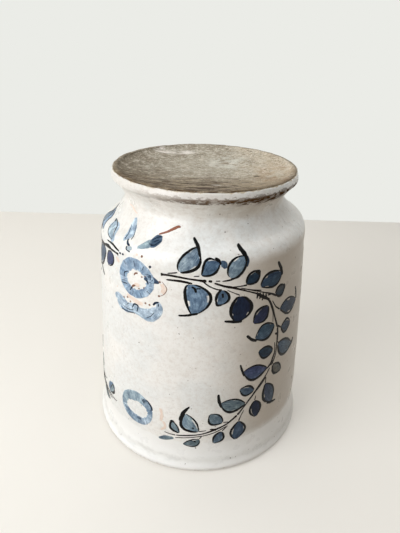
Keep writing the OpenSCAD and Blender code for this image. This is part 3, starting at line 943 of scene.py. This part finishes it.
def paint_branches():
    washes, lines, stems = Painting(), Painting(), Painting()
    for side in (1, -1):
        for number, row in enumerate(LEAVES):
            paint_leaf(washes, lines, row, side, number)
        lay_lines(lines, TAILS + HATCHES + VEINS, INK, 2.3, wider=tail_heavier, side=side)
        lay_lines(stems, STEMS, BROWN_INK, 3.1, wider=stem_heavier, side=side)
    for number, row in enumerate(RIGHT_LEAVES + LEFT_LEAVES, start=50):
        paint_leaf(washes, lines, row, 1, number)
    lay_lines(lines, RIGHT_TAILS + RIGHT_VEINS + LEFT_TAILS, INK, 1.1)
    lay_lines(stems, RIGHT_STEMS, BROWN_INK, 4.3, wider=stem_heavier)
    for tone, body, points in LEAF_DABS:
        paint_wash_line(washes, points, tone, body)
    leaf_blue = paint_finish("leaf_wash", 0.5, 0.62, 0.9)
    black_ink = paint_finish("black_ink", 0.5, 0, 0.5)
    stem_ink = paint_finish("stem_ink", 0.9, 0, 0.5)
    washes.finished("leaf_washes_paint", leaf_blue, "leaf_washes", "blue_wash")
    lines.finished("leaf_outlines_paint", black_ink, "leaf_outlines", "black_line")
    stems.finished("wreath_stems_paint", stem_ink, "wreath_stems", "stem_line")


def paint_ring(painting, centre, reach, hole, hole_reach, tone_at):
    """A flower's ring of soft blue between two uneven ovals, brushed outwards from its hole."""
    centre, reach, hole, hole_reach = (Vector(pair) for pair in (centre, reach, hole, hole_reach))

    def place(t, side):
        a = math.tau * t
        ray = Vector((math.cos(a), math.sin(a)))
        ripple = wander(ray, 2.4, centre.y)
        scallop = wander(ray, 5, centre.y)
        rim = centre + ray * reach * (1 + 0.04 * ripple + 0.02 * scallop)
        lip = hole + ray * hole_reach * (1 + 0.16 * ripple + 0.14 * scallop)
        share = (side + 1) / 2
        edge = min(share * 8, (1 - share) * 8, 1)
        lift = wash_lift if edge > 0 else sunk
        return lip.lerp(rim, share), lift, tone_at(ray, share), 0.1 + 0.85 * edge, Vector((a * 8, share * 5))

    painting.sheet(96, 12, place)


def upper_flower_tone(ray, share):
    shade = 0.5 + 0.8 * wander(ray, 3, share)
    return between(LAVENDER, BLUE, min(max(shade, 0), 1))


def lower_flower_tone(ray, share):
    shade = 0.5 + 0.9 * wander(ray, 2, share + 5)
    mossy = smooth(-0.1, 0.9, -0.6 * ray.x + 0.8 * ray.y)
    return between(between(PALE, STORM, min(max(shade, 0), 1)), SAGE, 0.7 * mossy)


# The strokes round the upper and the lower flower. A wash has its tone and strength before its points.
# The first of the rust strokes is the bud's red stalk, and the others are brown dots and one thin line.
UPPER_WASHES = [
    (PALE, 0.95, [(-14.6, 82.6, 1.6), (-12.4, 83.2, 4.2), (-9.4, 81.4, 6.4),
     (-5.4, 80.6, 5.2), (-1, 81.6, 4.4)]),
    (PALE, 0.95, [(-2, 81.6, 4.2), (2.6, 80.8, 4.6), (6.4, 80.8, 5.8), (9.6, 82.6, 5.4),
     (11.6, 85.4, 3.6), (11, 88.4, 1.6)]),
    (BLUE, 0.8, [(-10.4, 79.2, 1), (-6.4, 78.8, 1.6), (-1.4, 79.6, 1)]),
    (BLUE, 0.8, [(4, 78.6, 1), (8, 79.6, 1.6), (12.2, 83.6, 1.2)]),
    (PALE, 0.9, [(-12.8, 119.4, 1.6), (-12, 117, 4), (-10.8, 114.4, 5.2), (-9.2, 111.6, 3.6)]),
    (MIST, 0.5, [(-6.8, 109.4, 1), (-5.2, 109.5, 2), (-3.6, 109.6, 1)]),
    (SAGE, 0.8, [(-1.2, 110.8, 0.8), (1.2, 111.8, 2), (3.2, 112.6, 2.8), (5.2, 113, 2)]),
    (STEEL, 1, [(3.6, 113, 1.6), (5.6, 113.8, 3.6), (7.4, 114.5, 3.6), (9.4, 115.2, 1.6)]),
    (SLATE, 0.95, [(4, 99.3, 3), (6.4, 98.9, 4.4), (9, 98.4, 3), (11.6, 97.8, 0.8)]),
    (PALE, 0.8, [(-31, 112.4, 1), (-26, 112.8, 2.6), (-21, 110.8, 3.8), (-17.8, 108.2, 1.8)]),
    (PLUM, 1.1, [(-23.4, 96.4, 2.4), (-20.4, 99.4, 6.8), (-17.2, 102.6, 2.6)]),
]
UPPER_DARKS = [
    [(-5, 99, 0.6), (-7.6, 97.3, 0.9), (-7.2, 95.2, 0.6)],
    [(-9.7, 91.5, 0.5), (-7.4, 91.9, 0.8), (-5.5, 92.1, 0.6)],
    [(-2.4, 91.7, 0.9), (-3.2, 90.6, 0.9), (-4, 89.4, 0.5)],
    [(5.3, 97.8, 1.1), (6, 96.6, 1.2), (6.2, 95.6, 0.7)],
    [(4.4, 112.8, 0.6), (6.6, 112.9, 0.7), (9, 114.4, 0.7)],
    [(4.2, 114, 0.5), (6.4, 115.2, 0.7), (8.8, 115.9, 0.6)],
    [(5.4, 113.6, 0.4), (7.8, 114.6, 0.5)],
    [(-6.6, 101.6, 0.35), (-8, 103.4, 0.4)],
    [(-1.2, 102, 0.35), (-1.6, 105.4, 0.4)],
    [(2.6, 101.4, 0.35), (4, 104.2, 0.4)],
    [(-1.8, 90.2, 0.35), (-2.2, 88, 0.4)],
    [(2, 90.4, 0.35), (3, 88.4, 0.4)],
    [(5.4, 92.4, 0.35), (7.4, 91, 0.4)],
    [(-6.8, 93.4, 0.35), (-9.4, 92.6, 0.4)],
    [(-6.2, 81.4, 0.4), (-4.6, 83, 0.5)],
    [(5.4, 79.2, 0.4), (7.6, 80.6, 0.5), (9.4, 83, 0.4)],
    [(6.6, 105, 1.3), (7.4, 104.2, 1.5)],
    [(-2.4, 81.5, 0.7), (-1.3, 83.6, 0.9), (0.8, 83.4, 0.9), (0.3, 80.3, 0.6)],
    [(-9.7, 78.4, 0.6), (-5.4, 78.6, 0.8), (-0.5, 79.4, 0.5)],
    [(-8.6, 80.2, 0.4), (-4.6, 79.9, 0.5), (-1.4, 80.8, 0.4)],
    [(8.7, 86.3, 0.9), (10, 87.7, 1.1), (11.6, 88.2, 0.8)],
    [(11.4, 87.6, 0.8), (11.2, 86.2, 0.8)],
    [(-13.4, 116.4, 0.4), (-12.2, 114, 0.5), (-10.6, 111.6, 0.8)],
    [(-9, 112.2, 0.8), (-7.4, 110.8, 1), (-5.6, 110.4, 0.7)],
    [(-9.8, 117, 0.3), (-8.4, 114.6, 0.4), (-6.8, 112.2, 0.5)],
    [(-7, 110, 0.8), (-7.2, 109, 0.8), (-6.2, 108.4, 0.6), (-4.4, 108.2, 0.7)],
    [(-11.4, 105.7, 0.8), (-10, 105.7, 1)],
    [(-9.3, 105.8, 1), (-8, 105.9, 0.8)],
]
UPPER_RUSTS = [
    [(6.4, 116.4, 0.6), (10.6, 117.8, 0.9), (13.8, 119.2, 1.2), (16.6, 120.3, 1), (17.6, 120, 0.5)],
    [(-1.5, 98.1, 0.7), (-1, 99.2, 0.9), (0.5, 99.7, 0.8)],
    [(-2.7, 91.7, 0.6), (-1.7, 92.6, 1.2), (-0.5, 93.2, 0.6)],
    [(2.3, 98.4, 0.8), (3.2, 98.6, 0.8)],
    [(4.1, 99.3, 0.7), (4.9, 99.5, 0.7)],
    [(1, 92, 0.8), (1.8, 92, 0.8)],
    [(3.7, 93.2, 0.8), (4.5, 93.3, 0.8)],
    [(2.1, 108.3, 1.1), (3.1, 108, 1.2)],
    [(-8.2, 84.5, 0.9), (-7.4, 84.7, 0.9)],
    [(-6, 85.6, 0.9), (-5, 85.4, 0.9)],
    [(-4, 84, 0.9), (-3.2, 84, 0.9)],
    [(4.4, 86.2, 0.9), (5.4, 86, 1)],
    [(6.5, 86, 0.9), (7.5, 85.8, 0.9)],
    [(11.2, 98.5, 0.9), (12.2, 98.3, 1)],
    [(11, 91.2, 0.9), (12, 91.4, 0.9)],
    [(12.6, 99, 0.2), (14.7, 96.6, 0.3), (14.9, 94.6, 0.35), (13.6, 92.4, 0.3), (11.6, 91.3, 0.2)],
]
ROSES = [
    [(12.4, 98, 1.4), (13.8, 95.4, 2.6), (12.8, 92.6, 1.6)],
    [(-1.6, 93.6, 1.4), (0.2, 93.6, 2.4), (1.8, 93.6, 1.2)],
    [(-0.9, 108.2, 1), (0.6, 108.2, 1.2)],
    [(-14, 103, 1.4), (-12.8, 102, 2.4), (-11.4, 100.8, 1.2)],
    [(-14, 97, 1), (-13.2, 97, 1)],
    [(-13.4, 87.8, 1), (-12.6, 87.8, 1)],
    [(-6.4, 87, 1.4), (-1, 85.6, 2.4), (4, 85, 1.6)],
    [(-25, 122.6, 0.6), (-21, 122.6, 0.8), (-16.4, 121.5, 0.7), (-12.6, 120.9, 0.4)],
    [(12.6, 34, 1.2), (13.4, 30, 1.8), (12.8, 26, 1.2)],
    [(14, 27, 1), (15, 23.6, 1.6), (12.6, 21, 1)],
]
LOWER_WASHES = [
    (NAVY, 1.1, [(3.2, 34.6, 1.6), (5.2, 33.8, 3.4), (7, 32, 3.4), (8.2, 30.2, 1.6)]),
    (STORM, 0.9, [(-23.4, 24, 3), (-20.4, 27.4, 6), (-17.4, 30.6, 2.6)]),
    (STEEL, 0.8, [(0, 23, 1.2), (1.4, 22.8, 1.6), (2.6, 23.2, 1)]),
    (STEEL, 0.8, [(-7.8, 25.6, 1.2), (-7, 24.8, 1.6), (-6.2, 24.2, 1)]),
]


def paint_flowers():
    blue, rust = Painting(), Painting()
    paint_ring(blue, (-1.0, 96.8), (10.3, 9.8), (-0.3, 96.1), (5.2, 4.6), upper_flower_tone)
    paint_ring(blue, (-0.5, 28.3), (9.5, 9.4), (0.0, 27.9), (6.2, 3.9), lower_flower_tone)
    for tone, body, points in UPPER_WASHES + LOWER_WASHES:
        paint_wash_line(blue, points, tone, body)
    lay_lines(blue, UPPER_DARKS, NAVY, 1.3, body=0.9)
    for number, points in enumerate(UPPER_RUSTS):
        lay_line(rust, points, BROWN if number else RUST, number * 1.9, body=0.75)
    for points in ROSES:
        paint_wash_line(rust, points, ROSE, 0.4)
    flower_blue = paint_finish("flower_wash", 0.7, 0.5, 1.2)
    flower_rust = paint_finish("rust_wash", 0.8, 0, 0.5)
    blue.finished("flower_paint", flower_blue, "flower_washes", "pale_blue_wash")
    rust.finished("rust_paint", flower_rust, "rust_touches", "rust_paint")


def make_jar():
    """The clay between the two glazes, and the two coats of glaze."""
    clay_out = moved(OUTSIDE, glaze_t)
    clay_in = moved(INSIDE, -glaze_t)
    ring_out = Vector((clay_out[-1].x, jar_h))
    dish_r = ring_out.x - foot_ring_w
    dish = []
    dish_steps = 40
    for step in range(dish_steps + 1):
        a = math.radians(dish_end * step / dish_steps)
        depth = foot_dish * math.sin(a) / math.sin(math.radians(dish_end))
        dish.append(Vector((dish_r * math.cos(a), jar_h - depth)))
    dish.append(Vector((0, jar_h - foot_dish)))
    body = [OUTSIDE[0]] + clay_out + [ring_out] + dish + clay_in[::-1] + [INSIDE[0]]
    finish_mesh(turned(body), "jar_clay", clay_finish(), ["clay_body"])
    coat = OUTSIDE + clay_out[::-1]
    finish_mesh(turned(coat), "outer_coat", glaze_finish(), ["outer_glaze"])
    lining = clay_in + INSIDE[::-1]
    finish_mesh(turned(lining), "inner_coat", lining_finish(), ["lining_glaze"])


# The camera, fitted to the photograph's perspective
focal_px = 480
picture_h = 533
axis_row = 220
camera_at = Vector((-1.59, -222.2, 195.0))
camera_pitch = 21.5
camera_roll = 1.59


def make_camera():
    data = bpy.data.cameras.new("camera")
    data.sensor_width = 36
    data.lens = focal_px / picture_h * data.sensor_width
    data.shift_y = -(picture_h / 2 - axis_row) / picture_h
    data.clip_start = 0.01
    camera = new_object("camera", data)
    turn = Matrix.Rotation(math.radians(90 - camera_pitch), 4, "X")
    roll = Matrix.Rotation(math.radians(camera_roll), 4, "Z")
    camera.matrix_world = Matrix.Translation(camera_at * MM) @ turn @ roll
    bpy.context.scene.camera = camera


def make_lamp(name, at, target, size, watts, colour):
    data = bpy.data.lights.new(name, "AREA")
    data.shape = "RECTANGLE"
    data.size, data.size_y = size[0] * MM, size[1] * MM
    data.energy = watts
    data.color = colour
    lamp = new_object(name, data)
    ray = (Vector(target) - Vector(at)).to_track_quat("-Z", "Y").to_matrix().to_4x4()
    lamp.matrix_world = Matrix.Translation(Vector(at) * MM) @ ray


def seen_tone(name, diffuse, lit, shown, strength):
    """A matt surface that eyes and reflections see in one pale tone, and that bounces its own colour."""
    r = Recipe(name)
    r.shader.inputs["Roughness"].default_value = 1
    r.shader.inputs["Specular IOR Level"].default_value = 0
    r.shader.inputs["Emission Color"].default_value = shown
    rays = r.add("ShaderNodeLightPath").outputs
    seen = r.math("MAXIMUM", rays["Is Camera Ray"], rays["Is Glossy Ray"])
    r.feed(r.shader.inputs["Emission Strength"], r.times(seen, strength))
    r.feed(r.shader.inputs["Base Color"], r.mix(seen, diffuse, lit))
    return r.material


def make_plane(name, corners, material):
    bm = bmesh.new()
    bm.faces.new([bm.verts.new(Vector(p) * MM) for p in corners])
    plane = mesh_object(name, bm, material)


stage_back = 282
stage_reach = 3000


def make_stage():
    """A plain pale floor, and a plain pale wall behind it."""
    floor = seen_tone("floor", rgb("#a89a8a"), rgb("#cfcbc3"), rgb("#e8e5df"), 0.3)
    wall = seen_tone("backdrop", rgb("#dcdcd6"), (0, 0, 0, 1), rgb("#ebece7"), 1.0)
    far, back = stage_reach, stage_back
    make_plane("floor", [(-far, -far, 0), (far, -far, 0), (far, back, 0), (-far, back, 0)], floor)
    make_plane("backdrop", [(-far, back, 0), (far, back, 0), (far, back, far), (-far, back, far)], wall)


def make_light():
    """A large window at the left of the front, a weak fill at the right, a ceiling and a pale world."""
    world = bpy.data.worlds.new("studio")
    world.use_nodes = True
    background = world.node_tree.nodes["Background"]
    background.inputs["Color"].default_value = (0.97, 0.98, 1.0, 1)
    background.inputs["Strength"].default_value = 0.3
    bpy.context.scene.world = world
    make_lamp("window", (-536, -418, 370), (0, 0, 60), (600, 600), 5.2, (0.98, 1.0, 1.03))
    make_lamp("fill", (620, -420, 160), (0, 0, 60), (500, 500), 0.35, (1.0, 0.99, 0.97))
    make_lamp("ceiling", (0, 0, 900), (0, 0, 0), (600, 600), 2.4, (1.0, 1.0, 1.0))
    bpy.context.scene.view_settings.view_transform = "Standard"


make_jar()
paint_branches()
paint_flowers()
make_stage()
make_light()
make_camera()
